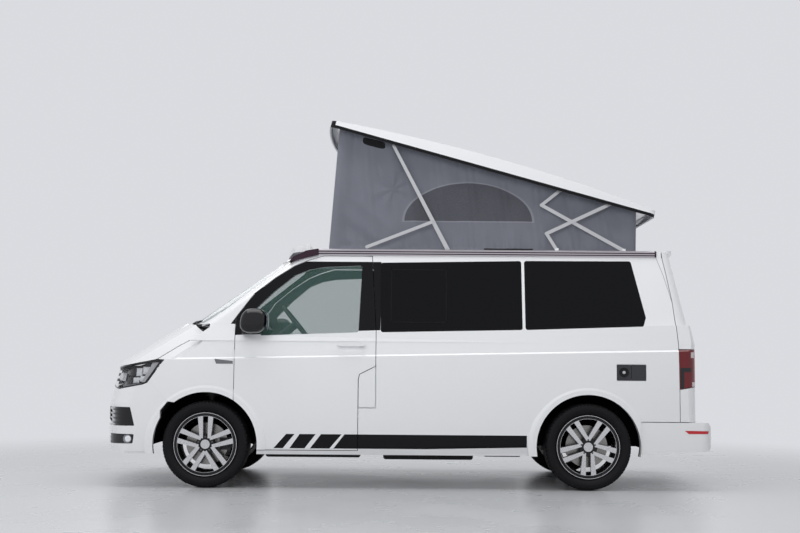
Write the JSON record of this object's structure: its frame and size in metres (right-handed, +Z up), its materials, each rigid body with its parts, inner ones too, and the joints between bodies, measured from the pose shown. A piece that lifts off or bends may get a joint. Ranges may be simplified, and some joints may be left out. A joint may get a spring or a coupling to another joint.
{
  "type": "camper van",
  "caption": "Pop-top camper van: steel van body with hinged doors, bonnet and tailgate, steered road wheels and a lifting roof lid over a canvas bellows",
  "frame": {"origin": "on the ground under the middle of the vehicle's box", "axes": "+X to the rear of the van, +Y to its right-hand side, +Z up"},
  "size_m": [4.904, 2.29, 2.9655],
  "materials": {
    "alloy": "turned",
    "aluminium": "anodised",
    "black_gloss": "gloss",
    "black_plastic": "grained",
    "cabinet_board": "laminate",
    "canvas": "woven",
    "clear_glass": "clear",
    "dark_glass": "tinted",
    "iron": "cast",
    "lamp_housing": "satin",
    "lens": "clear",
    "red_lens": "gloss",
    "steel_black": "satin",
    "tyre": "matt",
    "upholstery": "woven",
    "white_paint": "gloss"
  },
  "bodies": {
    "body": {"awning_right": "aluminium", "dashboard": "black_plastic", "engine_block": "iron", "exhaust": "steel_black", "floor_pan": "steel_black", "front_bumper": "white_paint", "front_fender_left": "white_paint", "front_fender_right": "white_paint", "front_grille": "black_plastic", "front_seats": "upholstery", "front_subframe": "steel_black", "front_wheel_houses": "steel_black", "headlamps": "lamp_housing", "kitchen_cabinet": "cabinet_board", "lamp_lenses": "lens", "rear_axle": "steel_black", "rear_bench": "upholstery", "rear_bumper": "white_paint", "rear_wheel_houses": "steel_black", "roof_canvas": "canvas", "roof_frame": "white_paint", "roof_rail_left": "aluminium", "scuttle": "black_plastic", "service_flaps": "black_plastic", "side_panel_left": "white_paint", "side_panel_right": "white_paint", "side_windows": "dark_glass", "sliding_door": "white_paint", "steering_wheel": "black_plastic", "tail_lamps": "red_lens", "underfloor_tanks": "black_plastic", "windscreen": "clear_glass", "wipers": "black_plastic"},
    "lid": {"pop_roof_lid": "white_paint", "lid_seal": "black_plastic"},
    "struts": {"front_struts": "aluminium"},
    "braces": {"strut_braces": "aluminium"},
    "rear_bar_pair": {"rear_bars": "aluminium"},
    "lid_link_pair": {"lid_links": "aluminium"},
    "cross_bar_pair": {"cross_bars": "aluminium"},
    "roof_link_pair": {"roof_links": "aluminium"},
    "door_left": {"front_door_left": "white_paint", "door_glass_left": "clear_glass", "door_mirror_left": "black_gloss"},
    "door_right": {"front_door_right": "white_paint", "door_glass_right": "clear_glass", "door_mirror_right": "black_gloss"},
    "bonnet_panel": {"bonnet": "white_paint"},
    "tailgate_door": {"tailgate": "white_paint", "tailgate_glass": "dark_glass"},
    "knuckle_left": {"front_knuckle_left": "iron"},
    "knuckle_right": {"front_knuckle_right": "iron"},
    "wheel_front_left": {"rim_front_left": "alloy", "tyre_front_left": "tyre"},
    "wheel_front_right": {"rim_front_right": "alloy", "tyre_front_right": "tyre"},
    "wheel_rear_left": {"rim_rear_left": "alloy", "tyre_rear_left": "tyre"},
    "wheel_rear_right": {"rim_rear_right": "alloy", "tyre_rear_right": "tyre"}
  },
  "joints": [
    {"name": "lid_tilt", "type": "hinge", "parent": "body", "child": "lid", "pos_m": [3.088, 0, 2.057], "axis": [0, -1, 0], "range_deg": [0, 15.4], "deforming": ["roof_canvas"]},
    {"name": "strut_fold", "type": "hinge", "parent": "body", "child": "struts", "pos_m": [0.357, 0, 1.91], "axis": [0, -1, 0], "range_deg": [0, 62.35]},
    {"name": "brace_fold", "type": "hinge", "parent": "struts", "child": "braces", "pos_m": [0.238, 0, 2.136], "axis": [0, -1, 0], "range_deg": [-83.81, 0]},
    {"name": "rear_bar_fold", "type": "hinge", "parent": "body", "child": "rear_bar_pair", "pos_m": [1.792, 0, 1.91], "axis": [0, -1, 0], "range_deg": [0, 28.9]},
    {"name": "lid_link_fold", "type": "hinge", "parent": "lid", "child": "lid_link_pair", "pos_m": [1.27941, 0, 2.40477], "axis": [0, -1, 0], "range_deg": [-53.81, 0]},
    {"name": "cross_bar_fold", "type": "hinge", "parent": "lid", "child": "cross_bar_pair", "pos_m": [1.68723, 0, 2.29244], "axis": [0, -1, 0], "range_deg": [-40.6, 0]},
    {"name": "roof_link_fold", "type": "hinge", "parent": "body", "child": "roof_link_pair", "pos_m": [1.245, 0, 1.91], "axis": [0, -1, 0], "range_deg": [0, 57.1]},
    {"name": "door_left_hinge", "type": "hinge", "parent": "body", "child": "door_left", "pos_m": [-1.318, -0.953, 0.9], "axis": [0, 0, -1], "range_deg": [0, 65]},
    {"name": "door_right_hinge", "type": "hinge", "parent": "body", "child": "door_right", "pos_m": [-1.318, 0.953, 0.9], "axis": [0, 0, 1], "range_deg": [0, 65]},
    {"name": "bonnet_hinge", "type": "hinge", "parent": "body", "child": "bonnet_panel", "pos_m": [-1.56, 0, 1.3], "axis": [0, 1, 0], "range_deg": [0, 50]},
    {"name": "tailgate_hinge", "type": "hinge", "parent": "body", "child": "tailgate_door", "pos_m": [2.0775, 0, 1.898], "axis": [0, -1, 0], "range_deg": [0, 85]},
    {"name": "steer_left", "type": "hinge", "parent": "body", "child": "knuckle_left", "pos_m": [-1.544, -0.76, 0.338], "axis": [0, 0, 1], "range_deg": [-32, 32]},
    {"name": "steer_right", "type": "hinge", "parent": "body", "child": "knuckle_right", "pos_m": [-1.544, 0.76, 0.338], "axis": [0, 0, 1], "range_deg": [-32, 32]},
    {"name": "spin_front_left", "type": "hinge", "parent": "knuckle_left", "child": "wheel_front_left", "pos_m": [-1.544, -0.814, 0.338], "axis": [0, 1, 0], "continuous": true},
    {"name": "spin_front_right", "type": "hinge", "parent": "knuckle_right", "child": "wheel_front_right", "pos_m": [-1.544, 0.814, 0.338], "axis": [0, 1, 0], "continuous": true},
    {"name": "spin_rear_left", "type": "hinge", "parent": "body", "child": "wheel_rear_left", "pos_m": [1.456, -0.814, 0.338], "axis": [0, 1, 0], "continuous": true},
    {"name": "spin_rear_right", "type": "hinge", "parent": "body", "child": "wheel_rear_right", "pos_m": [1.456, 0.814, 0.338], "axis": [0, 1, 0], "continuous": true}
  ],
  "couplings": [
    {"joint": "strut_fold", "follows": "lid_tilt", "ratio": 4.0487},
    {"joint": "brace_fold", "follows": "lid_tilt", "ratio": -5.4416},
    {"joint": "rear_bar_fold", "follows": "lid_tilt", "ratio": 1.8766},
    {"joint": "lid_link_fold", "follows": "lid_tilt", "ratio": -3.4935},
    {"joint": "cross_bar_fold", "follows": "lid_tilt", "ratio": -2.6364},
    {"joint": "roof_link_fold", "follows": "lid_tilt", "ratio": 3.7078},
    {"joint": "steer_right", "follows": "steer_left", "ratio": 1}
  ]
}
